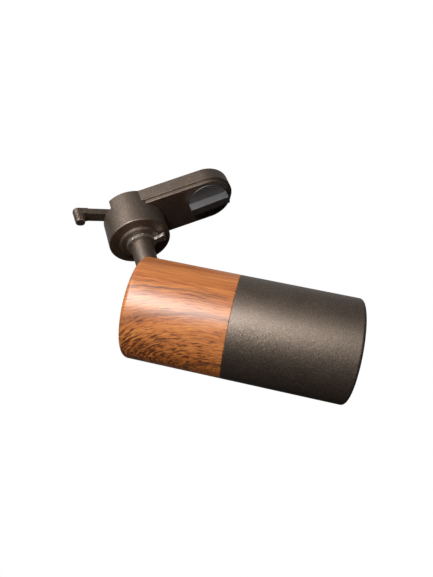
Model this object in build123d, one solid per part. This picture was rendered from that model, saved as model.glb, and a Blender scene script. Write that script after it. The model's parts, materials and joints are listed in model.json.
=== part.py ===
from build123d import *
import os
from math import cos, radians, sin

# Track spotlight: a cylindrical lamp head on a swivelling stem, hung from a
# three-circuit track adapter. Millimetres.
#
# Row frame: origin on the drum's axis in the plane of the adapter's top face, which
# seats against the track. +Z points up into the track, +X along the adapter's arm.
# Everything is modelled where it stands in the rest pose: the head tilted and panned,
# the lock lever part-way round, the selector knob almost in line with the arm.

os.makedirs("parts", exist_ok=True)

# ---------------------------------------------------------------- driving dimensions
DRUM_R = 19.9            # adapter drum
DRUM_H = 26.3
ARM_REACH = 51.3         # drum axis to selector axis
ARM_HALF_W = 17.5        # the adapter is as wide as the track, 35 mm
ARM_H = 9.2
COVER_HALF_W = 16.1      # lower layer of the arm, stepped in
COVER_T = 2.4

KNOB_R = 13.5
KNOB_REST = -2.3         # degrees from the arm's line
LEVER_REST = 208.5       # azimuth of the lever, degrees
LEVER_TIP = 38.8
NOTCH_FROM, NOTCH_TO = 121.5, 238.5    # azimuths of the lever's notch in the drum wall

STEM_R = 7.1
STEM_BORE = 4.0
NECK_R = 6.0             # threaded neck through the drum floor
HEAD_PIVOT_Z = -82.4     # tilt pivot, on the stem's axis
HEAD_PAN = 9.8           # azimuth of the head at rest
HEAD_TILT = 59.0         # degrees up from straight down at rest

HEAD_R = 30.0
HEAD_REAR = -16.1        # along the head's axis, from the tilt pivot
HEAD_JOINT = 40.9        # joint between rear housing and front barrel
HEAD_FRONT = 109.5

# ---------------------------------------------------------------- general clearances
GAP = 0.1                # between neighbours that are fastened together
RUN = 0.05               # radial clearance of a shaft in its hole
SHANK_R = 1.2            # small screws
PILOT_R = 1.25           # their holes in the piece they hold on to
SLACK = 0.4              # between pieces that move past each other

# ---------------------------------------------------------------- adapter levels
PLATE_T = 2.2            # insert plate, let into the housing's top
RIM = 1.2                # housing rim round the insert plate
WALL = 2.0               # arm wall
DRUM_BORE = 17.6
DECK_TOP = -6.8
DECK_T = 1.5
LEDGE_BORE = 16.6        # drum bore below the deck plate
PLATE_CUT_R = 15.0       # the insert plate is cut away beyond this radius in the notch
FLOOR_TOP = -23.9        # inside of the drum floor
NOTCH_Z = -6.6
RING_TOP = -DRUM_H       # raised ring under the drum
RING_Z = -27.9
STOP_Z = -30.5           # lower face of the stop ring
STOP_AZ = 95.0           # fixed pan stop
HUB_TOP = -2.6
HUB_BOTTOM = -6.4
LEVER_TOP = -0.2
LEVER_BOTTOM = -4.9
LEVER_HALF_W = 3.4
FINGER_W = 7.2           # the lever's finger is a square pin with rounded corners
FINGER_Z = -10.3
BAR_START = 15.6         # the lever's bar, at its full height
INSERT_TOP = 6.0
INSERT_HALF_W = 8.6
SPRING_Z = 2.3           # earth springs
SPRING_H = 2.6
CAM_BORE = 4.0           # lever hub's hole for the cam's spigot
CAM_POST_R = 6.0
ROTOR_R = 5.0
ROTOR_TOP = 12.4
BLADE_LEVELS = (6.8, 9.9)              # lower faces of the two contact blades
SLIP_R = 7.7
RIB_Z = -17.6            # lower face of the knob's grip bar
RIB_HALF_W = 3.1
KNOB_Z = -12.1
FLANGE_TOP = -7.9
CLAMP_SCREWS = [(x, side * 12.8) for x in (23.0, 33.5) for side in (1, -1)]
DECK_SCREW_R = 14.2
WIRE_PORT = 3.6          # half-width of the port from the arm into the drum
STEM_END = HEAD_PIVOT_Z + 10.5
TERMINALS = (-7.0, -1.0, 5.0)          # along X
TERMINAL_Y = -7.6
TERMINAL_FACE = -3.6

# ---------------------------------------------------------------- inside the head, along its axis
DISC_REAR, DISC_TOP = 12.4, 14.9       # mounting disc
BOARD_BOTTOM, BOARD_TOP = 19.5, 21.1   # driver board
SINK_REAR, SINK_FRONT = 36.0, 60.0     # heat sink
LENS_REAR, LENS_FRONT = 88.4, 91.4
DISC_SCREW_R = 24.9
DISC_SCREWS = (90, 210, 330)           # azimuths about the head's axis
SINK_SCREW_R = 24.3


# ---------------------------------------------------------------- helpers
def rod(r, z0, z1, x=0.0, y=0.0):
    """Upright cylinder between two heights."""
    return Pos(x, y, (z0 + z1) / 2) * Cylinder(r, abs(z1 - z0))


def ring(r_out, r_in, z0, z1, x=0.0, y=0.0):
    """Upright tube between two heights."""
    low, high = min(z0, z1), max(z0, z1)
    return rod(r_out, low, high, x, y) - rod(r_in, low - 1, high + 1, x, y)


def slab(x0, x1, y0, y1, z0, z1):
    """Box between opposite corners."""
    centre = Pos((x0 + x1) / 2, (y0 + y1) / 2, (z0 + z1) / 2)
    return centre * Box(abs(x1 - x0), abs(y1 - y0), abs(z1 - z0))


def cross_rod(r, y0, y1, x=0.0, z=0.0):
    """Cylinder lying along Y."""
    return Pos(x, (y0 + y1) / 2, z) * Rot(90, 0, 0) * Cylinder(r, abs(y1 - y0))


def pill(half_w, z0, z1, start=0.0, end=ARM_REACH):
    """Plate with round ends, lying along X."""
    ends = rod(half_w, z0, z1, start) + rod(half_w, z0, z1, end)
    return ends + slab(start, end, -half_w, half_w, z0, z1)


def half_pill(half_w, z0, z1, start):
    """As pill, with a square end at its start."""
    return slab(start, ARM_REACH, -half_w, half_w, z0, z1) + rod(half_w, z0, z1, ARM_REACH)


def lathe(points):
    """Solid of revolution about Z from an outline of (radius, z) points."""
    outline = Polyline([(r, 0, z) for r, z in points], close=True)
    return revolve(make_face(outline), Axis.Z)


def polar(r, azimuth):
    return r * cos(radians(azimuth)), r * sin(radians(azimuth))


def flat_edges(shape, z):
    """Edges that lie wholly in the plane at height z."""
    found = []
    for edge in shape.edges():
        box = edge.bounding_box()
        if abs(box.min.Z - z) < 1e-3 and abs(box.max.Z - z) < 1e-3:
            found.append(edge)
    return ShapeList(found)


def widest(edges):
    """The edge of the largest extent in a list."""
    return max(edges, key=lambda edge: edge.bounding_box().size.length)


def wire(points, r, bend):
    """Round wire along straight runs joined by tangent arcs."""
    path = FilletPolyline(*points, radius=bend)
    start = Plane(origin=path @ 0, z_dir=path % 0)
    return sweep(start * Circle(r), path)


def screw(r_head, head_h, r_shaft, length, x, y, top, up=1):
    """Pan-head screw with a cross recess; its head stands on the plane at top."""
    head = rod(r_head, 0, head_h)
    head = fillet(flat_edges(head, head_h), head_h * 0.4)
    arm = r_head * 0.55
    recess = slab(-arm, arm, -0.3, 0.3, head_h - 0.9, head_h + 1)
    recess += slab(-0.3, 0.3, -arm, arm, head_h - 0.9, head_h + 1)
    body = head - recess + rod(r_shaft, -length, 0)
    turn = Rot(0, 0, 0) if up > 0 else Rot(180, 0, 0)
    return Pos(x, y, top) * turn * body


def group(solids):
    return Compound(children=list(solids))


def save(name, shape):
    export_step(shape, "parts/" + name + ".step")


# The head's own frame: z from its rear to its front, x towards the side that the
# stem swings over, y along the tilt axis.
HEAD_DIR = (cos(radians(HEAD_PAN)) * sin(radians(HEAD_TILT)),
            sin(radians(HEAD_PAN)) * sin(radians(HEAD_TILT)),
            -cos(radians(HEAD_TILT)))
HEAD_UP = (cos(radians(HEAD_PAN)) * cos(radians(HEAD_TILT)),
           sin(radians(HEAD_PAN)) * cos(radians(HEAD_TILT)),
           sin(radians(HEAD_TILT)))
HEAD_PLACE = Plane(origin=(0, 0, HEAD_PIVOT_Z), x_dir=HEAD_UP, z_dir=HEAD_DIR).location
PAN_TURN = Rot(0, 0, HEAD_PAN)
LEVER_TURN = Rot(0, 0, LEVER_REST)
KNOB_PLACE = Pos(ARM_REACH, 0, 0) * Rot(0, 0, KNOB_REST)


def save_head(name, shape):
    save(name, HEAD_PLACE * shape)


# ================================================================ track adapter, fixed
def notch_cutter(r_in, margin=0.0):
    """Sector of the drum wall that the lever sweeps, open at the top."""
    far = 45
    middle = (NOTCH_FROM + NOTCH_TO) / 2
    azimuths = (NOTCH_FROM - margin, middle, NOTCH_TO + margin)
    corners = [(0, 0)] + [polar(far, azimuth) for azimuth in azimuths]
    face = make_face(Polyline(corners, close=True))
    sector = extrude(Pos(0, 0, NOTCH_Z) * face, 20)
    return sector - rod(r_in, NOTCH_Z - 1, 20)


def adapter_housing():
    arm = half_pill(ARM_HALF_W, -ARM_H, 0, 0)
    arm = chamfer(flat_edges(arm, -ARM_H), 0.35)
    drum = rod(DRUM_R, -DRUM_H, 0)
    drum = fillet(flat_edges(drum, -DRUM_H), 0.9)
    boss = lathe([(0, RING_Z), (12.7, RING_Z), (13.4, RING_Z + 0.7), (13.6, RING_TOP + 1), (0, RING_TOP + 1)])
    body = drum + arm + boss
    body = fillet(ShapeList([e for e in flat_edges(body, 0) if e.bounding_box().size.length > 5]), 0.4)
    # top recess for the insert plate, drum bores, arm cavity
    body -= rod(DRUM_R - RIM, -PLATE_T, 1) + half_pill(ARM_HALF_W - RIM, -PLATE_T, 1, 0)
    body -= rod(DRUM_BORE, DECK_TOP - DECK_T, 1)
    body -= rod(LEDGE_BORE, FLOOR_TOP, 1)
    body -= half_pill(ARM_HALF_W - WALL, -ARM_H - 1, 0, 12) - rod(DRUM_R, -ARM_H - 2, DECK_TOP - DECK_T)
    body -= slab(15, 21, -WIRE_PORT, WIRE_PORT, -10.9, -8.2)
    body -= rod(NECK_R + RUN, RING_Z - 1, 0)
    body -= notch_cutter(LEDGE_BORE)
    # deck screw bosses on the drum wall
    for side in (90, 270):
        x, y = polar(DECK_SCREW_R, side)
        body += rod(2.6, FLOOR_TOP - 0.5, DECK_TOP - DECK_T, x, y)
        body -= rod(1.3, -18, 0, x, y)
    # fixed stop for the pan ring's tab
    lug = slab(13.0, 17.2, -2.2, 2.2, -DRUM_H + 0.5, STOP_Z + 0.3)
    lug = fillet(lug.edges().filter_by(Axis.Z), 0.8)
    body += Rot(0, 0, STOP_AZ) * lug - rod(NECK_R + RUN, -40, 0)
    return body


def arm_cover():
    cover = half_pill(COVER_HALF_W, -ARM_H - COVER_T, -ARM_H - GAP / 2, 8)
    cover = fillet(flat_edges(cover, -ARM_H - COVER_T), 0.4)
    for x, y in CLAMP_SCREWS:
        cover += rod(2.5, -ARM_H - 1, -6.5, x, y)
        cover -= rod(PILOT_R, -ARM_H - 1.0, 0, x, y)
    cover -= rod(DRUM_R + GAP / 2, -30, 0)
    cover -= slab(18, 23, -WIRE_PORT, WIRE_PORT, -10.3, 0)
    return cover - rod(KNOB_R + 0.25, -30, 0, ARM_REACH)


def track_insert():
    """Moulded insulator: a plate let into the housing and the block that enters the track."""
    plate = rod(DRUM_R - RIM - 0.15, -PLATE_T, 0) + half_pill(ARM_HALF_W - RIM - 0.15, -PLATE_T, 0, 0)
    block = pill(INSERT_HALF_W, -0.5, INSERT_TOP, 0, ARM_REACH)
    block = fillet(flat_edges(block, INSERT_TOP), 1.0)
    body = plate + block
    hollow = pill(INSERT_HALF_W - 1.5, -PLATE_T - 1, INSERT_TOP - 1.5, 0, ARM_REACH)
    body -= hollow
    body += ring(INSERT_HALF_W - 0.5, 6.0, -PLATE_T, INSERT_TOP - 1, 0)
    body += ring(ROTOR_R + 1.6, ROTOR_R, -PLATE_T, INSERT_TOP - 1, ARM_REACH)
    body -= rod(CAM_POST_R + 2 * RUN, -10, 20)
    body -= rod(ROTOR_R + SLACK / 2, -10, 20, ARM_REACH)
    body -= notch_cutter(PLATE_CUT_R, margin=1.0)
    for x, y in CLAMP_SCREWS:
        body += rod(2.5, -6.4, -PLATE_T + 0.5, x, y)
        body -= rod(1.3, -10, 1, x, y) + rod(2.4, -1.3, 1, x, y)
    for side in (1, -1):
        body -= slab(19.8, 34.2, side * 7.0, side * 9.5, SPRING_Z - 0.2, SPRING_Z + SPRING_H + 0.2)
    return body


def clamp_screws():
    return [screw(2.2, 1.2, SHANK_R, 8.7, x, y, -1.25) for x, y in CLAMP_SCREWS]


def deck_plate():
    deck = rod(DRUM_BORE - 0.2, DECK_TOP - DECK_T + GAP / 2, DECK_TOP)
    deck -= rod(4.3, -20, 0)
    for side in (90, 270):
        x, y = polar(DECK_SCREW_R, side)
        deck -= rod(1.4, -20, 0, x, y) + rod(2.8, DECK_TOP - 0.7, 0, x, y)
    return deck


def deck_screws():
    solids = []
    for side in (90, 270):
        x, y = polar(DECK_SCREW_R, side)
        flush = lathe([(0, -9), (1.2, -9), (1.2, -0.65), (2.6, -0.65), (2.6, 0), (0, 0)])
        solids.append(Pos(x, y, DECK_TOP - 0.02) * (flush - slab(-2, 2, -0.3, 0.3, -0.45, 1)))
    return solids


def terminal_block():
    block = slab(-10.5, 8.5, -11.2, TERMINAL_FACE, -15.6, DECK_TOP - DECK_T - GAP)
    block = chamfer(block.edges().filter_by(Axis.X), 0.6)
    for x in TERMINALS:
        block -= rod(1.7, -20, -11.5, x, TERMINAL_Y)
        block -= slab(x - 1.5, x + 1.5, TERMINAL_Y + 2, 0, -14.4, -11.8)
    return block


def terminal_screws():
    screws = []
    for x in TERMINALS:
        driver_slot = slab(x - 2, x + 2, TERMINAL_Y - 0.3, TERMINAL_Y + 0.3, -16, -14.6)
        screws.append(rod(1.6, -15.2, -13.2, x, TERMINAL_Y) - driver_slot)
    return screws


def wiper_contacts():
    """Leaf contacts that bear on the rotor's two slip rings."""
    foot_top, foot_bottom = -PLATE_T - GAP / 2, -PLATE_T - 0.55
    leaf_x = ARM_REACH - 8.1
    first = slab(36.5, leaf_x, -3, 3, foot_bottom, foot_top)
    first += slab(leaf_x - 0.4, leaf_x, -3, 3, -5.0, foot_top)
    leaf_y = 8.1
    second = slab(ARM_REACH - 3, ARM_REACH + 3, leaf_y, 13.5, foot_bottom, foot_top)
    second += slab(ARM_REACH - 3, ARM_REACH + 3, leaf_y, leaf_y + 0.4, -7.2, foot_top)
    return [first, second]


def earth_springs():
    """Bowed brass leaves on both sides of the insert block."""
    leaves = []
    for side in (1, -1):
        outer = ThreePointArc((20.2, side * 8.3), (27.0, side * 10.6), (33.8, side * 8.3))
        inner = ThreePointArc((33.8, side * 7.9), (27.0, side * 10.2), (20.2, side * 7.9))
        outline = outer + Line((33.8, side * 8.3), (33.8, side * 7.9)) + inner
        outline += Line((20.2, side * 7.9), (20.2, side * 8.3))
        leaves.append(extrude(Pos(0, 0, SPRING_Z) * make_face(outline), SPRING_H, dir=(0, 0, 1)))
    return leaves


def adapter_leads():
    """Insulated leads from the arm, through the port in the drum wall, to the terminals."""
    leads = []
    for x, lane, turn in ((5.0, -2.2, 0.6), (-1.0, 0.0, 2.4), (-7.0, 2.2, 4.4)):
        path = [(38.5, lane, -3.7), (27.0, lane, -6.2), (17.0, lane, -9.4)]
        path += [(x, turn, -13.1), (x, -5.0, -13.1)]
        leads.append(wire(path, 0.6, 1.5))
    return leads


def thrust_washer():
    return ring(10.5, NECK_R + 0.15, FLOOR_TOP + 0.02, FLOOR_TOP + 0.8)


# ================================================================ lock lever, turns in the drum
def finger(width, x):
    """Tapered pin that hangs from the lever's bar, as thick along the bar as FINGER_W."""
    draft, corner = 0.8, 2.9
    top = Pos(x, 0, LEVER_TOP) * RectangleRounded(FINGER_W, width, corner)
    end = RectangleRounded(FINGER_W - 2 * draft, width - 2 * draft, corner - draft)
    return loft([Pos(x, 0, FINGER_Z) * end, top])


def lock_lever():
    hub = rod(16.8, HUB_BOTTOM, HUB_TOP)
    hub = chamfer(flat_edges(hub, HUB_TOP) + flat_edges(hub, HUB_BOTTOM), 0.3)
    middle = LEVER_TIP - FINGER_W / 2
    bar = slab(BAR_START, middle, -LEVER_HALF_W, LEVER_HALF_W, LEVER_BOTTOM, LEVER_TOP)
    bar = chamfer(bar.edges().filter_by(Axis.X), 0.15)
    shoulder_w = LEVER_HALF_W + 0.2
    shoulder = slab(29.8, middle, -shoulder_w, shoulder_w, LEVER_BOTTOM, LEVER_TOP + 0.1)
    pin = finger(FINGER_W, middle)
    pin = fillet(flat_edges(pin, FINGER_Z), 1.0)
    body = hub + bar + shoulder + pin
    # grip ribs on both sides, leaning outward towards the finger's end
    pitch, thick, proud, lean = 1.6, 0.75, 0.4, -23
    rib_block = finger(FINGER_W + 2 * proud, middle)
    for index in range(4):
        x = middle + (index - 1.5) * pitch
        body += rib_block & Pos(x, 0, -4.6) * Rot(0, lean, 0) * Box(thick, 10, 8.8)
    return body - rod(CAM_BORE, -20, 5)


def lock_cam():
    """Post on the lever's hub with the wing that turns behind the track's lips."""
    spigot = rod(CAM_BORE - RUN, HUB_BOTTOM + 0.3, HUB_TOP)
    post = rod(CAM_POST_R, HUB_TOP, 9.4)
    wing = slab(-12.5, 12.5, -4.5, 4.5, INSERT_TOP + 0.4, 9.4)
    wing = fillet(wing.edges().filter_by(Axis.Z), 3.0)
    wing = chamfer(flat_edges(wing, 9.4), 0.6)
    cam = spigot + post + wing
    return cam - rod(1.55, -20, 4)


def cam_screw():
    shaft = rod(1.5, HUB_BOTTOM - 1, 2.5)
    head = rod(3.9, HUB_BOTTOM - 1.9, HUB_BOTTOM - 0.02)
    head = fillet(flat_edges(head, HUB_BOTTOM - 1.9), 0.5)
    recess = slab(-2, 2, -0.35, 0.35, -9, -7.4) + slab(-0.35, 0.35, -2, 2, -9, -7.4)
    return head + shaft - recess


# ================================================================ selector, turns in the arm
def selector_knob():
    disc = rod(KNOB_R, KNOB_Z, -8.8)
    disc = fillet(flat_edges(disc, KNOB_Z), 0.35)
    flange = rod(14.9, -9.0, FLANGE_TOP)
    rib = slab(-KNOB_R, KNOB_R, -RIB_HALF_W, RIB_HALF_W, RIB_Z, KNOB_Z + 0.5)
    rib = rib & rod(KNOB_R - 0.15, RIB_Z, KNOB_Z + 0.5)
    rib = chamfer(flat_edges(rib, RIB_Z), 0.3)
    knob = disc + flange + rib
    # circuit marks: one, two and three dots beside the rim
    for azimuth in (-95, -78, -74, -61, -57, -53):
        x, y = polar(11.6, azimuth)
        knob += rod(0.35, KNOB_Z - 0.25, KNOB_Z + 0.2, x, y)
    knob -= rod(3.0, -11, 0)
    return knob - rod(PILOT_R, -15, 0)


def rotor_blade(z):
    """Flat contact that stands out of the rotor, with its leg down to a slip ring."""
    blade = slab(3.0, 12.4, -2.4, 2.4, z, z + 1.0)
    blade = fillet(blade.edges().filter_by(Axis.Z).sort_by(Axis.X)[-2:], 1.2)
    return blade + slab(3.0, 3.8, -1.4, 1.4, -5.0, z + 0.5)


def contact_blades():
    low, high = BLADE_LEVELS
    return [rotor_blade(low), Rot(0, 0, 180) * rotor_blade(high)]


def selector_rotor():
    rotor = rod(ROTOR_R, FLANGE_TOP, ROTOR_TOP)
    rotor = fillet(flat_edges(rotor, ROTOR_TOP), 0.8)
    rotor += rod(3.0 - RUN, -10.8, FLANGE_TOP)
    for z, side in zip(BLADE_LEVELS, (1, -1)):
        rotor -= slab(side * 2.9, side * 13, -2.5, 2.5, z - 0.05, z + 1.05)
        rotor -= slab(side * 2.9, side * 3.9, -1.5, 1.5, -5.1, z)
    return rotor - rod(1.45, -20, 20)


def slip_rings():
    inner = ROTOR_R + 0.02
    return [ring(SLIP_R, inner, -4.8, -3.3), ring(SLIP_R, inner, -7.1, -5.5)]


def rotor_screw():
    """Long screw from the rotor's top into the knob."""
    return screw(2.4, 1.4, SHANK_R, 25.4, 0, 0, ROTOR_TOP + 0.02)


# ================================================================ stem, turns in the drum floor
def stem_tube():
    outline = [(STEM_BORE, STEM_END), (STEM_R, STEM_END), (STEM_R, STOP_Z), (NECK_R, STOP_Z)]
    outline += [(NECK_R, -17.0), (STEM_BORE, -17.0)]
    return chamfer(flat_edges(lathe(outline), -17.0), 0.4)


def stop_ring():
    """Collar under the drum; its tab meets the fixed stop at either end of the pan."""
    collar_r, bottom, tab_h, tab_azimuth = 9.4, STOP_Z + 0.02, 2.4, -2
    collar = ring(collar_r, NECK_R + 0.02, bottom, RING_Z - 0.05)
    corners = [(8.0, 1.2), (16.6, 2.9), (16.6, -2.9), (8.0, -1.2)]
    tab = extrude(Pos(0, 0, bottom) * make_face(Polyline(corners, close=True)), tab_h)
    tab = fillet(tab.edges().filter_by(Axis.Z).sort_by(Axis.X)[-2:], 1.3)
    # the tab's outer end is bent up beside the boss
    tab += slab(14.2, 16.5, -1.6, 1.6, bottom + 1, RING_TOP - 0.6)
    groove_z = (STOP_Z + RING_Z) / 2
    groove = ring(12, collar_r - 0.25, groove_z - 0.2, groove_z + 0.2) - slab(7, 20, -3, 3, -40, 0)
    body = collar + Rot(0, 0, tab_azimuth) * tab
    return body - groove - rod(NECK_R + 0.02, -40, 0)


def stem_nut():
    nut = extrude(Pos(0, 0, -22.2) * RegularPolygon(9.2, 6), 4.0)
    nut = nut & lathe([(0, -22.2), (8.6, -22.2), (9.3, -21.6), (9.3, -18.8), (8.6, -18.2), (0, -18.2)])
    return nut - rod(NECK_R + 0.02, -40, 0)


def wave_washer():
    return ring(9.8, NECK_R + 0.1, -22.95, -22.3)


def pivot_tongue():
    """Foot of the stem: a spigot in the tube, a flat tongue with the tilt pivot's hole."""
    spigot = rod(STEM_BORE - RUN, -60, STEM_END - 1)
    shoulder = rod(STEM_R - 0.2, STEM_END - 2.2, STEM_END - 0.02)
    tongue = slab(-6.5, 6.5, -3, 3, HEAD_PIVOT_Z, STEM_END - 1)
    tongue += cross_rod(6.5, -3, 3, 0, HEAD_PIVOT_Z)
    body = spigot + shoulder + tongue
    body -= rod(2.4, -77.0, 0)
    body -= slab(0, 9, -1.9, 1.9, -77.4, STEM_END - 1.2)
    body -= cross_rod(2.5, -9, 9, 0, HEAD_PIVOT_Z)
    return PAN_TURN * (body - cross_rod(1.0, -9, 9, 0, -66))


def tongue_pin():
    """Cross pin that locks the tongue's spigot in the stem tube."""
    halves = []
    for side in (1, -1):
        halves.append(PAN_TURN * cross_rod(0.95, side * 2.5, side * 3.9, 0, -66))
    return halves


def stem_wire(azimuth, exit_z):
    """One insulated wire through the stem, out of the tongue's window."""
    x, y = polar(1.12, azimuth)
    return PAN_TURN * wire([(x, y, -16.0), (x, y, exit_z), (8.0, y, exit_z)], 0.85, 1.6)


# ================================================================ lamp head, in its own frame
def rear_housing():
    inner = HEAD_R - 2.2
    outline = [(0, HEAD_REAR), (HEAD_R, HEAD_REAR), (HEAD_R, HEAD_JOINT), (inner, HEAD_JOINT)]
    outline += [(inner, HEAD_REAR + 2.4), (0, HEAD_REAR + 2.4)]
    body = lathe(outline)
    body = fillet(widest(flat_edges(body, HEAD_REAR)), 3.0)
    body = fillet(widest(flat_edges(body, HEAD_REAR + 2.4)), 1.0)
    body = chamfer(widest(flat_edges(body, HEAD_JOINT)), 0.2)
    for azimuth in DISC_SCREWS:
        x, y = polar(DISC_SCREW_R, azimuth)
        body += rod(3.0, 4.0, 12.3, x, y)
        body -= rod(PILOT_R, 5.0, 20.0, x, y)
    # slot that the stem swings in, from the rear face's centre to the side wall
    half = STEM_R + 0.5
    body -= slab(0, 40, -half, half, -30, 0)
    body -= rod(half, -30, -5)
    return body - Rot(0, 90, 0) * rod(half, 15, 40)


def mounting_disc():
    disc = rod(27.6, DISC_REAR, DISC_TOP)
    for azimuth in DISC_SCREWS:
        x, y = polar(DISC_SCREW_R, azimuth)
        disc -= rod(1.45, 0, 20, x, y)
    for side in (1, -1):
        disc -= rod(1.3, 0, 20, 0, side * 10.5)
    disc -= rod(3.4, 0, 20, 15.0, 0)
    disc -= slab(-35, -22.2, -4, 4, 0, 20)
    return disc


def disc_screws():
    solids = []
    for azimuth in DISC_SCREWS:
        x, y = polar(DISC_SCREW_R, azimuth)
        solids.append(screw(2.6, 1.8, SHANK_R, 8.5, x, y, DISC_TOP + 0.05))
    return solids


def pivot_bracket():
    """Fork that straddles the stem's tongue."""
    base = slab(-7.5, 7.5, -14, 14, 10.4, 12.35)
    base = fillet(base.edges().filter_by(Axis.Z), 2.5)
    body = base
    for side in (1, -1):
        ear = slab(-7.5, 7.5, side * 3.4, side * 5.4, 0, 11)
        ear += cross_rod(7.5, side * 3.4, side * 5.4)
        body += ear
        body -= rod(1.6, 0, 20, 0, side * 10.5)
    return body - cross_rod(2.5, -9, 9)


def bracket_screws():
    return [screw(2.5, 1.7, SHANK_R, 4.2, 0, side * 10.5, 10.35, up=-1) for side in (1, -1)]


def pivot_bolt():
    shaft = cross_rod(2.45, -11.4, 6.3)
    head = extrude(Pos(0, 0, 0) * RegularPolygon(4.6, 6), 3.4)
    head = Pos(0, 6.25, 0) * Rot(-90, 0, 0) * head
    return shaft + head


def pivot_nut():
    nut = extrude(RegularPolygon(4.6, 6), 3.6)
    nut = Pos(0, -6.25, 0) * Rot(90, 0, 0) * nut
    return nut - cross_rod(2.47, -20, 0)


def pivot_washers():
    return [cross_rod(4.9, side * 5.45, side * 6.2) - cross_rod(2.55, -10, 10) for side in (1, -1)]


def friction_washers():
    return [cross_rod(6.0, side * 3.05, side * 3.38) - cross_rod(2.55, -10, 10) for side in (1, -1)]


def wire_grommet():
    body = rod(4.6, 11.6, 15.7, 15.0, 0) - ring(6, 3.35, 12.35, 14.95, 15.0, 0)
    return body - rod(2.4, 0, 30, 15.0, 0)


def head_leads():
    """Three leads from the pivot space through the grommet to the driver board."""
    leads = []
    for azimuth in (30, 150, 270):
        x, y = polar(1.25, azimuth)
        leads.append(rod(0.85, 8.6, 19.3, 15.0 + x, y))
    return leads


BOARD_POSTS = [polar(20.0, azimuth) for azimuth in (45, 165, 285)]


def board_standoffs():
    return [ring(2.4, 1.0, DISC_TOP + 0.05, BOARD_BOTTOM - 0.05, x, y) for x, y in BOARD_POSTS]


def driver_board():
    board = rod(24.6, BOARD_BOTTOM, BOARD_TOP)
    for x, y in BOARD_POSTS:
        board -= rod(1.15, 0, 40, x, y)
    return board


def board_screws():
    return [screw(2.0, 1.4, 0.95, 5.0, x, y, BOARD_TOP + 0.05) for x, y in BOARD_POSTS]


def transformer():
    low = BOARD_TOP + GAP
    core = slab(-8, 8, -9, 6, low + 1.2, low + 11.2) - slab(-9, 9, -6.5, 3.5, low + 2.6, low + 9.8)
    core += slab(-3, 3, -9, 6, low + 1.2, low + 11.2)
    bobbin = slab(-10, 10, -6.2, 3.2, low, low + 2.4)
    winding = slab(3.2, 6.6, -6.2, 3.2, low + 2.8, low + 9.6)
    return [core, bobbin - core, winding]


def capacitors():
    low = BOARD_TOP + GAP
    cans = []
    for x, y, r, h in ((-13.0, -14.0, 4.6, 13.0), (-3.0, -17.5, 3.6, 11.0), (15.5, -1.0, 3.2, 9.0)):
        can = rod(r, low, low + h, x, y)
        can = fillet(flat_edges(can, low + h), 0.5)
        cans.append(can - ring(r + 1, r - 0.35, low + 1.4, low + 2.0, x, y))
    return cans


def driver_chips():
    low = BOARD_TOP + GAP
    chips = [slab(-14, -9, 9.5, 15.5, low, low + 1.7)]
    chips.append(slab(2, 10, 13, 17, low, low + 4.5))
    chips.append(slab(8, 13, -16, -11, low, low + 3.0))
    return chips


def heat_sink():
    """Finned aluminium body with the lamp's seat on its front face."""
    base_rear = 55.0
    body = rod(25.2, SINK_REAR, SINK_FRONT)
    fin_pitch = 4.4
    for index in range(-5, 6):
        y = index * fin_pitch
        body -= slab(-30, 30, y - 1.4, y + 1.4, SINK_REAR - 1, base_rear)
    body += rod(6.0, SINK_REAR + 6, base_rear + 1)
    body += rod(27.2, 57.1, SINK_FRONT)
    for azimuth in (90, 270):
        x, y = polar(SINK_SCREW_R, azimuth)
        body -= rod(3.2, 30, 57.05, x, y)
        body -= rod(1.4, 30, 70, x, y)
    body -= rod(2.2, 30, 70, -24.4, 0)
    return body


def heat_sink_screws():
    solids = []
    for azimuth in (90, 270):
        x, y = polar(SINK_SCREW_R, azimuth)
        solids.append(screw(2.4, 1.6, SHANK_R, 11.0, x, y, SINK_FRONT + 0.05))
    return solids


def thermal_pad():
    return rod(13.0, SINK_FRONT + 0.05, SINK_FRONT + 0.3)


def led_board():
    board = slab(-9.5, 9.5, -9.5, 9.5, 60.35, 61.5)
    return chamfer(board.edges().filter_by(Axis.Z), 1.0)


def led_emitter():
    return fillet(flat_edges(rod(7.2, 61.52, 62.2), 62.2), 0.3)


def led_holder():
    holder = rod(17.5, 60.1, 65.0)
    holder = fillet(flat_edges(holder, 65.0), 0.6)
    holder -= rod(13.7, 60.0, 61.7)
    holder -= lathe([(0, 60), (7.6, 60), (7.6, 62.4), (9.6, 65.5), (0, 65.5)])
    for side in (1, -1):
        x, y = polar(15.4, 45 + 90 * side)
        holder -= rod(1.2, 50, 70, x, y)
    return holder


def led_leads():
    leads = []
    for y in (0.85, -0.85):
        path = [(-24.3, y, BOARD_TOP + 0.2), (-24.3, y, 62.9), (-17.8, y, 62.9)]
        leads.append(wire(path, 0.7, 1.6))
    return leads


def front_barrel():
    ledge = 57.0
    outline = [(25.6, 34.9), (27.7, 34.9), (27.7, HEAD_JOINT), (HEAD_R, HEAD_JOINT)]
    outline += [(HEAD_R, HEAD_FRONT), (27.4, HEAD_FRONT), (27.4, ledge), (25.6, ledge)]
    body = lathe(outline)
    rims = flat_edges(body, HEAD_FRONT)
    body = fillet(widest(rims), 1.8)
    body = chamfer(widest(flat_edges(body, HEAD_JOINT)), 0.2)
    body = chamfer(widest(flat_edges(body, 34.9)), 0.5)
    for azimuth in (90, 270):
        x, y = polar(SINK_SCREW_R, azimuth)
        body += rod(2.9, 47.0, 57.0, x, y)
        body -= rod(PILOT_R, 48.0, 60.0, x, y)
    return body


def reflector():
    """Deep bowl from the lamp to the lens, with a seating flange at its mouth."""
    steps = 10
    z0, z1, r0, r1, skin = 65.15, 87.2, 9.2, 23.6, 0.9
    inner = []
    for index in range(steps + 1):
        t = index / steps
        inner.append((r0 + (r1 - r0) * t ** 0.72, z0 + (z1 - z0) * t))
    outer = [(r + skin, z) for r, z in reversed(inner)]
    flange = [(r1, 88.3), (27.2, 88.3), (27.2, z1), (r1 + skin, z1)]
    return lathe(inner + flange + outer[1:])


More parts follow.
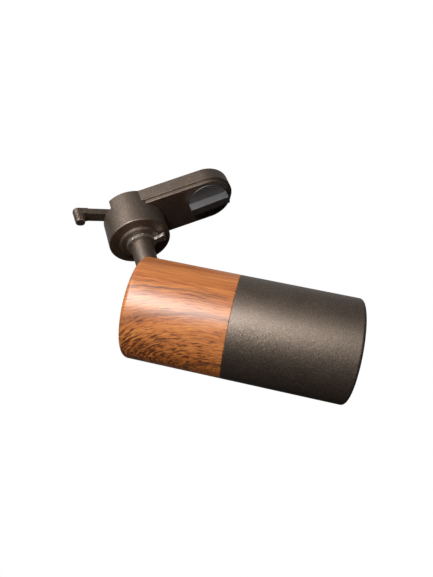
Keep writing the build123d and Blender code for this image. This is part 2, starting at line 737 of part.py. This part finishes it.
def lens():
    return fillet(flat_edges(rod(26.9, LENS_REAR, LENS_FRONT), LENS_FRONT), 0.4)


def lens_gasket():
    return ring(27.1, 24.8, LENS_FRONT + 0.05, 92.6)


def glare_ring():
    """Stepped black baffle in the barrel's mouth."""
    rear, front, r_out = 92.7, 107.6, 27.2
    steps = 4
    depth = (front - rear) / steps
    points = [(r_out, rear), (r_out, front)]
    for index in range(steps):
        r = 26.2 - 0.75 * index
        z = front - depth * index
        points += [(r, z), (r - 0.25, z - depth)]
    return lathe(points)


# ---------------------------------------------------------------- write every sub-part
save("adapter_housing", adapter_housing())
save("arm_cover", arm_cover())
save("track_insert", track_insert())
save("clamp_screws", group(clamp_screws()))
save("deck_plate", deck_plate())
save("deck_screws", group(deck_screws()))
save("terminal_block", terminal_block())
save("terminal_screws", group(terminal_screws()))
save("wiper_contacts", group(wiper_contacts()))
save("earth_springs", group(earth_springs()))
save("adapter_leads", group(adapter_leads()))
save("thrust_washer", thrust_washer())

save("lock_lever", LEVER_TURN * lock_lever())
save("lock_cam", LEVER_TURN * Rot(0, 0, 135) * lock_cam())
save("cam_screw", cam_screw())

save("selector_knob", KNOB_PLACE * selector_knob())
save("selector_rotor", KNOB_PLACE * selector_rotor())
save("slip_rings", KNOB_PLACE * group(slip_rings()))
save("contact_blades", KNOB_PLACE * group(contact_blades()))
save("rotor_screw", KNOB_PLACE * rotor_screw())

save("stem_tube", stem_tube())
save("stop_ring", stop_ring())
save("stem_nut", stem_nut())
save("wave_washer", wave_washer())
save("pivot_tongue", pivot_tongue())
save("tongue_pins", group(tongue_pin()))
save("live_wire", stem_wire(60, -74.05))
save("neutral_wire", stem_wire(300, -74.05))
save("earth_wire", stem_wire(180, -75.9))

save_head("rear_housing", rear_housing())
save_head("front_barrel", front_barrel())
save_head("mounting_disc", mounting_disc())
save_head("disc_screws", group(disc_screws()))
save_head("pivot_bracket", pivot_bracket())
save_head("bracket_screws", group(bracket_screws()))
save_head("pivot_bolt", pivot_bolt())
save_head("pivot_nut", pivot_nut())
save_head("pivot_washers", group(pivot_washers()))
save_head("friction_washers", group(friction_washers()))
save_head("wire_grommet", wire_grommet())
save_head("head_leads", group(head_leads()))
save_head("board_standoffs", group(board_standoffs()))
save_head("driver_board", driver_board())
save_head("board_screws", group(board_screws()))
save_head("transformer", group(transformer()))
save_head("capacitors", group(capacitors()))
save_head("driver_chips", group(driver_chips()))
save_head("heat_sink", heat_sink())
save_head("heat_sink_screws", group(heat_sink_screws()))
save_head("thermal_pad", thermal_pad())
save_head("led_board", led_board())
save_head("led_emitter", led_emitter())
save_head("led_holder", led_holder())
save_head("led_leads", group(led_leads()))
save_head("reflector", reflector())
save_head("lens", lens())
save_head("lens_gasket", lens_gasket())
save_head("glare_ring", glare_ring())
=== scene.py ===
import json
from math import cos, radians, sin

import bpy
from mathutils import Matrix, Vector

# Track spotlight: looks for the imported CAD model. Metres, same frame as the CAD:
# +Z up into the track, +X along the adapter's arm, the camera on the -Y side.

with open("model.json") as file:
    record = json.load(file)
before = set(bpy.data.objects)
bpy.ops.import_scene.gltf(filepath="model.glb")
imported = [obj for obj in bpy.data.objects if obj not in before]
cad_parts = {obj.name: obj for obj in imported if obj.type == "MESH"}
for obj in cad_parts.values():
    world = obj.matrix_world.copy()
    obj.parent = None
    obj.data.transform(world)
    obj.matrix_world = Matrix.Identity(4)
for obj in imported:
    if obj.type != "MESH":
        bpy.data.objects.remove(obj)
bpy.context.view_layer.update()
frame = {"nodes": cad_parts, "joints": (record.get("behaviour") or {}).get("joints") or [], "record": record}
nodes = frame["nodes"]
MM = 0.001

# ------------------------------------------------------------------ the head's own axes
JOINTS = {joint["name"]: joint for joint in frame["joints"]}
TILT = JOINTS["head_tilt"]
PIVOT = Vector(TILT["pos_m"])
HEAD_TILT = radians(59.0)                       # up from straight down, at rest
TILT_AXIS = Vector(TILT["axis"]).normalized()
HEAD_DIR = Matrix.Rotation(HEAD_TILT, 3, TILT_AXIS) @ Vector((0, 0, -1))
HEAD_UP = TILT_AXIS.cross(HEAD_DIR).normalized()
HEAD_SIDE = HEAD_DIR.cross(HEAD_UP)
HEAD_R = 30.0 * MM
HEAD_REAR = -16.1 * MM


def round_head(azimuth):
    """Direction square to the head's axis, in degrees from its top towards the camera's side."""
    return cos(radians(azimuth)) * HEAD_UP + sin(radians(azimuth)) * HEAD_SIDE


# ------------------------------------------------------------------ camera
EYE = Vector((0.01744, -0.23058, -0.22759))
LOOK = Vector((0.06167, 0.84028, 0.53863))
CAMERA_UP = Vector((0.33536, -0.52573, 0.78176))
camera_data = bpy.data.cameras.new("camera")
camera_data.sensor_fit = "VERTICAL"
camera_data.sensor_height = 36.0
camera_data.lens = 29.09
camera_data.clip_start = 0.01
camera = bpy.data.objects.new("camera", camera_data)
bpy.context.scene.collection.objects.link(camera)
back = -LOOK.normalized()
right = CAMERA_UP.cross(back).normalized()
turn = Matrix((right, back.cross(right), back)).transposed().to_4x4()
camera.matrix_world = Matrix.Translation(EYE) @ turn
bpy.context.scene.camera = camera
bpy.context.scene.view_settings.view_transform = "Standard"


# ------------------------------------------------------------------ light
def soft_light(name, aim, direction, distance, along, width, height, power, colour=(1, 1, 1)):
    """Rectangular soft light that faces aim, its width lying along a given direction."""
    data = bpy.data.lights.new(name, "AREA")
    data.shape = "RECTANGLE"
    data.size = width
    data.size_y = height
    data.energy = power
    data.color = colour
    light = bpy.data.objects.new(name, data)
    bpy.context.scene.collection.objects.link(light)
    back = Vector(direction).normalized()
    side = (Vector(along) - Vector(along).dot(back) * back).normalized()
    turn = Matrix((side, back.cross(side), back)).transposed().to_4x4()
    light.matrix_world = Matrix.Translation(aim + back * distance) @ turn
    light.visible_camera = False
    return light


KEY_AIM = PIVOT + 0.02 * HEAD_DIR
soft_light("key", KEY_AIM, round_head(104) - 0.37 * HEAD_DIR, 0.60, HEAD_DIR, 0.38, 0.24, 3.9)
soft_light("upper_left", Vector((0, 0, -0.02)), (-0.35, -0.85, 0.40), 0.55, (1, -0.4, 0), 0.12, 0.16, 0.5)
# warm fills that lift the matt surfaces only, so they leave no highlight of their own
FILL_COLOUR = (1.0, 0.90, 0.80)
for name, azimuth, power in (("fill_above", 52, 0.24), ("fill_below", 165, 0.26)):
    fill = soft_light(name, KEY_AIM, round_head(azimuth), 0.34, HEAD_DIR, 0.34, 0.30, power, FILL_COLOUR)
    fill.visible_glossy = False

world = bpy.data.worlds.new("studio")
bpy.context.scene.world = world
world.use_nodes = True
sky = world.node_tree
sky.nodes.clear()
heading = sky.nodes.new("ShaderNodeTexCoord")
towards_back = sky.nodes.new("ShaderNodeVectorMath")
towards_back.operation = "DOT_PRODUCT"
towards_back.inputs[1].default_value = (0, 0.45, 0.9)
sky.links.new(heading.outputs["Generated"], towards_back.inputs[0])
shade = sky.nodes.new("ShaderNodeValToRGB")
shade.color_ramp.elements[0].position = 0.35
shade.color_ramp.elements[0].color = (0.003, 0.003, 0.003, 1)
shade.color_ramp.elements[1].position = 0.90
shade.color_ramp.elements[1].color = (0.28, 0.28, 0.285, 1)
sky.links.new(towards_back.outputs["Value"], shade.inputs["Fac"])
studio_light = sky.nodes.new("ShaderNodeBackground")
sky.links.new(shade.outputs["Color"], studio_light.inputs["Color"])
backdrop = sky.nodes.new("ShaderNodeBackground")
backdrop.inputs["Color"].default_value = (1, 1, 1, 1)
ray = sky.nodes.new("ShaderNodeLightPath")
both = sky.nodes.new("ShaderNodeMixShader")
sky.links.new(ray.outputs["Is Camera Ray"], both.inputs["Fac"])
sky.links.new(studio_light.outputs[0], both.inputs[1])
sky.links.new(backdrop.outputs[0], both.inputs[2])
surface = sky.nodes.new("ShaderNodeOutputWorld")
sky.links.new(both.outputs[0], surface.inputs["Surface"])


# ------------------------------------------------------------------ material helper
class Finish:
    """One procedural material, with short calls that add its nodes."""

    def __init__(self, name, **sockets):
        self.material = bpy.data.materials.new(name)
        self.material.use_nodes = True
        self.tree = self.material.node_tree
        self.shader = self.tree.nodes["Principled BSDF"]
        for key, value in sockets.items():
            self.set(key.replace("_", " "), value)

    def set(self, key, value):
        """Feed one of the shader's sockets with a constant or with another node's output."""
        self.feed(self.shader.inputs[key], value)

    def feed(self, socket, value):
        if isinstance(value, bpy.types.NodeSocket):
            self.tree.links.new(value, socket)
        elif socket.type == "RGBA" and len(value) == 3:
            socket.default_value = (*value, 1)
        else:
            socket.default_value = value

    def node(self, kind, out=0, wires=None, **settings):
        made = self.tree.nodes.new("ShaderNode" + kind)
        for key, value in settings.items():
            setattr(made, key, value)
        for key, value in (wires or {}).items():
            self.feed(made.inputs[key], value)
        return made.outputs[out]

    def where(self, scale=1000.0):
        """Point on the object in millimetres, or in units of 1/scale metres."""
        place = self.node("TexCoord", "Object")
        return self.node("VectorMath", wires={0: place, 1: (scale,) * 3}, operation="MULTIPLY")

    def math(self, operation, a, b=0.0):
        return self.node("Math", wires={0: a, 1: b}, operation=operation)

    def dot(self, vector, direction):
        return self.node("VectorMath", "Value", {0: vector, 1: tuple(direction)}, operation="DOT_PRODUCT")

    def join(self, x, y):
        return self.node("CombineXYZ", wires={0: x, 1: y})

    def noise(self, vector, scale, detail=2.0, roughness=0.5, distortion=0.0):
        wires = {"Vector": vector, "Scale": scale, "Detail": detail, "Roughness": roughness}
        return self.node("TexNoise", "Fac", {**wires, "Distortion": distortion})

    def span(self, value, low, high, to_low=0.0, to_high=1.0, smooth=False):
        """value from low..high brought to to_low..to_high and held there."""
        kind = "SMOOTHSTEP" if smooth else "LINEAR"
        wires = {"Value": value, "From Min": low, "From Max": high, "To Min": to_low, "To Max": to_high}
        return self.node("MapRange", wires=wires, interpolation_type=kind)

    def blend(self, factor, a, b, mode="MIX"):
        mixer = self.tree.nodes.new("ShaderNodeMix")
        mixer.data_type = "RGBA"
        mixer.blend_type = mode
        self.feed(mixer.inputs["Factor"], factor)
        self.feed(mixer.inputs[6], a)
        self.feed(mixer.inputs[7], b)
        return mixer.outputs[2]

    def ramp(self, value, stops):
        """Colour ramp from (position, colour) stops."""
        made = self.tree.nodes.new("ShaderNodeValToRGB")
        band = made.color_ramp
        while len(band.elements) < len(stops):
            band.elements.new(0.5)
        for element, (position, colour) in zip(band.elements, stops):
            element.position = position
            element.color = (*colour, 1)
        self.feed(made.inputs["Fac"], value)
        return made.outputs["Color"]

    def bump(self, height, depth_mm, strength=1.0, normal=None):
        wires = {"Height": height, "Distance": depth_mm * MM, "Strength": strength}
        if normal is not None:
            wires["Normal"] = normal
        made = self.node("Bump", "Normal", wires)
        self.set("Normal", made)
        return made


# ------------------------------------------------------------------ coats
def flake_coat(name, colour, flake, grain_mm=0.36, roughness=0.57, sparkle=0.20, texture=0.05,
               **sockets):
    """Powder coat with metal flakes: each flake tilts the surface its own way."""
    coat = Finish(name, **sockets)
    place = coat.where()
    cell = coat.node("TexVoronoi", "Color", {"Vector": place, "Scale": 1 / grain_mm}, feature="F1")
    tone = coat.node("SeparateColor", 0, {"Color": cell})
    tone = coat.math("POWER", tone, 6.0)
    patch = coat.noise(place, 0.09, 3.0)
    base = coat.blend(tone, colour, flake)
    dark = coat.span(patch, 0.3, 0.7, 0.90, 1.08)
    dark = coat.node("CombineColor", wires={0: dark, 1: dark, 2: dark})
    base = coat.blend(1.0, base, dark, "MULTIPLY")
    coat.set("Base Color", base)
    dull = coat.noise(place, 1.1, 2.0)
    coat.set("Roughness", coat.span(dull, 0.3, 0.7, roughness - 0.03, roughness + 0.03))
    lean = coat.node("VectorMath", wires={0: cell, 1: (0.5, 0.5, 0.5)}, operation="SUBTRACT")
    lean = coat.node("VectorMath", wires={0: lean, "Scale": sparkle}, operation="SCALE")
    upright = coat.node("NewGeometry", "Normal")
    tilted = coat.node("VectorMath", wires={0: upright, 1: lean}, operation="ADD")
    tilted = coat.node("VectorMath", wires={0: tilted}, operation="NORMALIZE")
    coat.bump(coat.noise(place, 2.6, 2.0), texture, 0.5, tilted)
    return coat.material


def wood_film():
    """Wood-grain film on the rear housing: rings of a log cut lengthwise, their crown low at the joint."""
    crown_azimuth, crown_z = 185.4, 40.2
    open_z = 0.53          # how fast the rings open towards the rear
    straight_y = 40.0      # rings further round than this run straight
    cap_shift = (52.0, 34.0)    # the log's heart lies this far beside the flat rear face
    cap_facing = 0.75      # surfaces that face the rear more squarely than this are the cap
    pore_colour = (0.10, 0.026, 0.007)
    vein_colour = (0.11, 0.042, 0.022)
    veins = ((48.2, 1.0, 0.62), (36.5, 2.6, 0.46), (25.0, 1.0, 0.30), (9.8, 1.7, 0.80))
    wood = Finish("wood_film", Coat_Weight=1.0, Coat_Roughness=0.42, Coat_IOR=1.78, IOR=1.4)
    place = wood.where()
    offset = wood.node("VectorMath", wires={0: place, 1: tuple(-PIVOT / MM)}, operation="ADD")
    warp = wood.noise(place, 0.055, 2.0)
    warp = wood.span(warp, 0.0, 1.0, -1.8, 1.8)
    ripple = wood.span(wood.noise(place, 0.42, 2.0), 0.0, 1.0, -0.5, 0.5)
    warp = wood.math("ADD", warp, ripple)
    towards = wood.dot(offset, round_head(crown_azimuth))
    across = wood.dot(offset, round_head(crown_azimuth + 90))
    along = wood.dot(offset, HEAD_DIR)
    turn = wood.math("ARCTAN2", across, towards)
    y_side = wood.math("MULTIPLY", turn, -HEAD_R / MM)
    x_side = wood.math("SUBTRACT", crown_z, along)
    facing = wood.node("TexCoord", "Normal")
    cap = wood.math("GREATER_THAN", wood.math("ABSOLUTE", wood.dot(facing, HEAD_DIR)), cap_facing)
    y_cap = wood.math("ADD", towards, cap_shift[0])
    x_cap = wood.math("ADD", across, cap_shift[1])
    y = wood.math("ADD", wood.math("MULTIPLY", cap, wood.math("SUBTRACT", y_cap, y_side)), y_side)
    x = wood.math("ADD", wood.math("MULTIPLY", cap, wood.math("SUBTRACT", x_cap, x_side)), x_side)
    y = wood.math("ADD", y, warp)
    flat = wood.math("POWER", wood.math("DIVIDE", wood.math("ABSOLUTE", y), straight_y), 4.0)
    flat = wood.math("SQRT", wood.math("ADD", flat, 1.0))
    bent = wood.math("DIVIDE", wood.math("MULTIPLY", x, open_z), flat)
    ring = wood.math("ADD", wood.math("MULTIPLY", y, y), wood.math("MULTIPLY", bent, bent))
    ring = wood.math("SQRT", ring)
    along_ring = wood.math("ARCTAN2", y, bent)
    along_ring = wood.math("MULTIPLY", along_ring, HEAD_R / MM)

    def grain(squeeze, *noise):
        """Noise that is fine across the rings and drawn out along them."""
        return wood.noise(wood.join(ring, wood.math("MULTIPLY", along_ring, squeeze)), *noise)

    tone = grain(0.12, 0.17, 3.0, 0.55)
    streak = grain(0.14, 1.15, 3.0, 0.62)
    hair = grain(0.16, 2.4, 2.0, 0.6)
    value = wood.math("ADD", wood.math("MULTIPLY", tone, 0.32), wood.math("MULTIPLY", streak, 0.34))
    value = wood.math("ADD", value, wood.math("MULTIPLY", hair, 0.34))
    colour = wood.ramp(value, [
        (0.36, (0.22, 0.046, 0.010)), (0.45, (0.43, 0.120, 0.024)),
        (0.52, (0.60, 0.196, 0.040)), (0.62, (0.74, 0.275, 0.064))])
    # pores: short dark dashes, thickest in the crown towards the rear, thin where the grain is straight
    dash = grain(0.12, 1.45, 2.0, 0.55)
    near = wood.span(wood.math("ABSOLUTE", y), 13.0, 29.0, 1.0, 0.0, smooth=True)
    rear = wood.span(x, 4.0, 40.0, 0.085, 0.155, smooth=True)
    limit = wood.math("ADD", wood.math("MULTIPLY", near, rear), 0.385)
    pore = wood.span(wood.math("SUBTRACT", limit, dash), -0.02, 0.085)
    colour = wood.blend(wood.math("MULTIPLY", pore, 0.92), colour, pore_colour)
    # dark growth veins: radius and half width of the ring in millimetres, and how dark
    for radius, width, depth in veins:
        away = wood.math("ABSOLUTE", wood.math("SUBTRACT", ring, radius))
        away = wood.math("ADD", away, wood.span(streak, 0.3, 0.7, -0.6, 0.6))
        line = wood.span(away, 0.0, width, depth, 0.0, smooth=True)
        colour = wood.blend(line, colour, vein_colour)
    wood.set("Base Color", colour)
    wood.set("Roughness", wood.span(streak, 0.3, 0.7, 0.52, 0.44))
    wood.bump(streak, 0.01, 0.25)
    return wood.material


# ------------------------------------------------------------------ mouldings, metals, small parts
def moulding(name, colour, roughness=0.55, grain_mm=0.30, depth=0.02, **sockets):
    """Moulded plastic with a spark-eroded grain and faint flow marks."""
    part = Finish(name, **sockets)
    place = part.where()
    flow = part.noise(place, 0.14, 3.0, 0.6, 0.8)
    tone = part.span(flow, 0.3, 0.7, 0.88, 1.10)
    shade = part.node("CombineColor", wires={0: tone, 1: tone, 2: tone})
    part.set("Base Color", part.blend(1.0, colour, shade, "MULTIPLY"))
    part.set("Roughness", part.span(flow, 0.3, 0.7, roughness - 0.05, roughness + 0.06))
    part.bump(part.noise(place, 1 / grain_mm, 2.0), depth, 0.5)
    return part.material


def bare_metal(name, colour, roughness=0.3, stretch=(6.0, 6.0, 0.4), depth=0.004):
    """Bare or plated metal with fine tool marks stretched along one axis and dull patches."""
    metal = Finish(name, Metallic=1.0)
    place = metal.where()
    drawn = metal.node("VectorMath", wires={0: place, 1: stretch}, operation="MULTIPLY")
    mark = metal.noise(drawn, 1.0, 3.0, 0.6)
    patch = metal.noise(place, 0.2, 3.0)
    tone = metal.span(patch, 0.3, 0.7, 0.86, 1.05)
    shade = metal.node("CombineColor", wires={0: tone, 1: tone, 2: tone})
    metal.set("Base Color", metal.blend(1.0, colour, shade, "MULTIPLY"))
    metal.set("Roughness", metal.span(mark, 0.3, 0.7, roughness - 0.08, roughness + 0.12))
    metal.bump(mark, depth, 0.5)
    return metal.material


FINISHES = {
    "brown_coat": lambda: flake_coat("brown_coat", (0.20, 0.137, 0.094), (0.48, 0.38, 0.29),
                                     Metallic=0.985, Coat_Weight=1.0, Coat_IOR=1.84, Coat_Roughness=0.5),
    "wood_grain": wood_film,
    "black_moulding": lambda: moulding("black_moulding", (0.018, 0.018, 0.020)),
    "knob_moulding": lambda: moulding("knob_moulding", (0.008, 0.007, 0.007), 0.57, 0.4, 0.05, IOR=2.9),
    "brass": lambda: bare_metal("brass", (0.72, 0.48, 0.18), 0.28),
    "zinc_steel": lambda: bare_metal("zinc_steel", (0.56, 0.57, 0.58), 0.32),
    "steel_dark": lambda: bare_metal("steel_dark", (0.09, 0.085, 0.08), 0.42),
    "collar_metal": lambda: flake_coat("collar_metal", (0.36, 0.31, 0.265), (0.85, 0.79, 0.72),
                                       grain_mm=0.5, roughness=0.5, sparkle=0.6, texture=0.12,
                                       Metallic=0.9, Coat_Weight=1.0, Coat_IOR=1.8, Coat_Roughness=0.4),
    "heat_sink_metal": lambda: bare_metal("heat_sink_metal", (0.70, 0.71, 0.72), 0.36),
    "reflector_metal": lambda: bare_metal("reflector_metal", (0.86, 0.86, 0.87), 0.14,
                                          stretch=(0.5, 0.5, 0.5), depth=0.03),
    "clear_glass": lambda: moulding("clear_glass", (0.95, 0.97, 0.97), 0.08, 2.0, 0.01,
                                    Transmission_Weight=1.0, IOR=1.49),
    "phosphor": lambda: moulding("phosphor", (0.85, 0.62, 0.06), 0.35, 0.5, 0.02),
    "white_moulding": lambda: moulding("white_moulding", (0.78, 0.78, 0.75), 0.5),
    "board_green": lambda: moulding("board_green", (0.012, 0.10, 0.035), 0.35),
    "board_white": lambda: moulding("board_white", (0.80, 0.81, 0.79), 0.4),
    "capacitor_sleeve": lambda: moulding("capacitor_sleeve", (0.012, 0.016, 0.05), 0.3),
    "ferrite": lambda: moulding("ferrite", (0.03, 0.03, 0.033), 0.6, 0.2, 0.03),
    "chip_black": lambda: moulding("chip_black", (0.014, 0.014, 0.015), 0.6, 0.15, 0.02),
    "silicone": lambda: moulding("silicone", (0.45, 0.45, 0.45), 0.5),
    "black_rubber": lambda: moulding("black_rubber", (0.012, 0.012, 0.012), 0.75),
    "wire_brown": lambda: moulding("wire_brown", (0.10, 0.03, 0.012), 0.35),
    "wire_blue": lambda: moulding("wire_blue", (0.012, 0.05, 0.30), 0.35),
    "wire_green": lambda: moulding("wire_green", (0.03, 0.25, 0.05), 0.35),
    "wire_red": lambda: moulding("wire_red", (0.40, 0.012, 0.012), 0.35),
    "nylon": lambda: moulding("nylon", (0.70, 0.68, 0.60), 0.45, Subsurface_Weight=0.1),
}
SHARP_ANGLE = radians(28)       # edges sharper than this stay crisp
materials = {slot: build() for slot, build in FINISHES.items()}
slot_of = {part["node"]: part["material_slot"] for part in frame["record"]["subparts"]}
for name, node in nodes.items():
    node.data.materials.clear()
    node.data.materials.append(materials[slot_of[name]])
    node.data.shade_smooth()
    node.data.set_sharp_from_angle(angle=SHARP_ANGLE)

# the film covers the rear housing's outside only: its inside and cut edges are bare casting
casting = bare_metal("bare_casting", (0.30, 0.30, 0.31), 0.5, (1.0, 1.0, 1.0), 0.03)
housing = nodes["rear_housing"].data
housing.materials.append(casting)
FILM_DEPTH = 1.0 * MM
for polygon in housing.polygons:
    offset = polygon.center - PIVOT
    along = offset.dot(HEAD_DIR)
    depth = min(HEAD_R - (offset - along * HEAD_DIR).length, along - HEAD_REAR)
    if depth > FILM_DEPTH:
        polygon.material_index = 1

# ------------------------------------------------------------------ floor
FLOOR_Z = -0.90
FLOOR_SIZE = 6.0
bpy.ops.mesh.primitive_plane_add(size=FLOOR_SIZE, location=(0, 0, FLOOR_Z))
floor = bpy.context.object
floor.name = "floor"
pale = Finish("floor_paint", Roughness=0.7)
speck = pale.noise(pale.where(1.0), 3.0, 3.0)
paint = pale.ramp(speck, [(0.3, (0.80, 0.79, 0.77)), (0.7, (0.86, 0.85, 0.83))])
pale.set("Base Color", paint)
# the floor glows softly, so that it looks pale, but it lights nothing
pale.set("Emission Color", paint)
pale.set("Emission Strength", 0.62)
floor.data.materials.append(pale.material)
floor.visible_diffuse = False
floor.visible_glossy = False
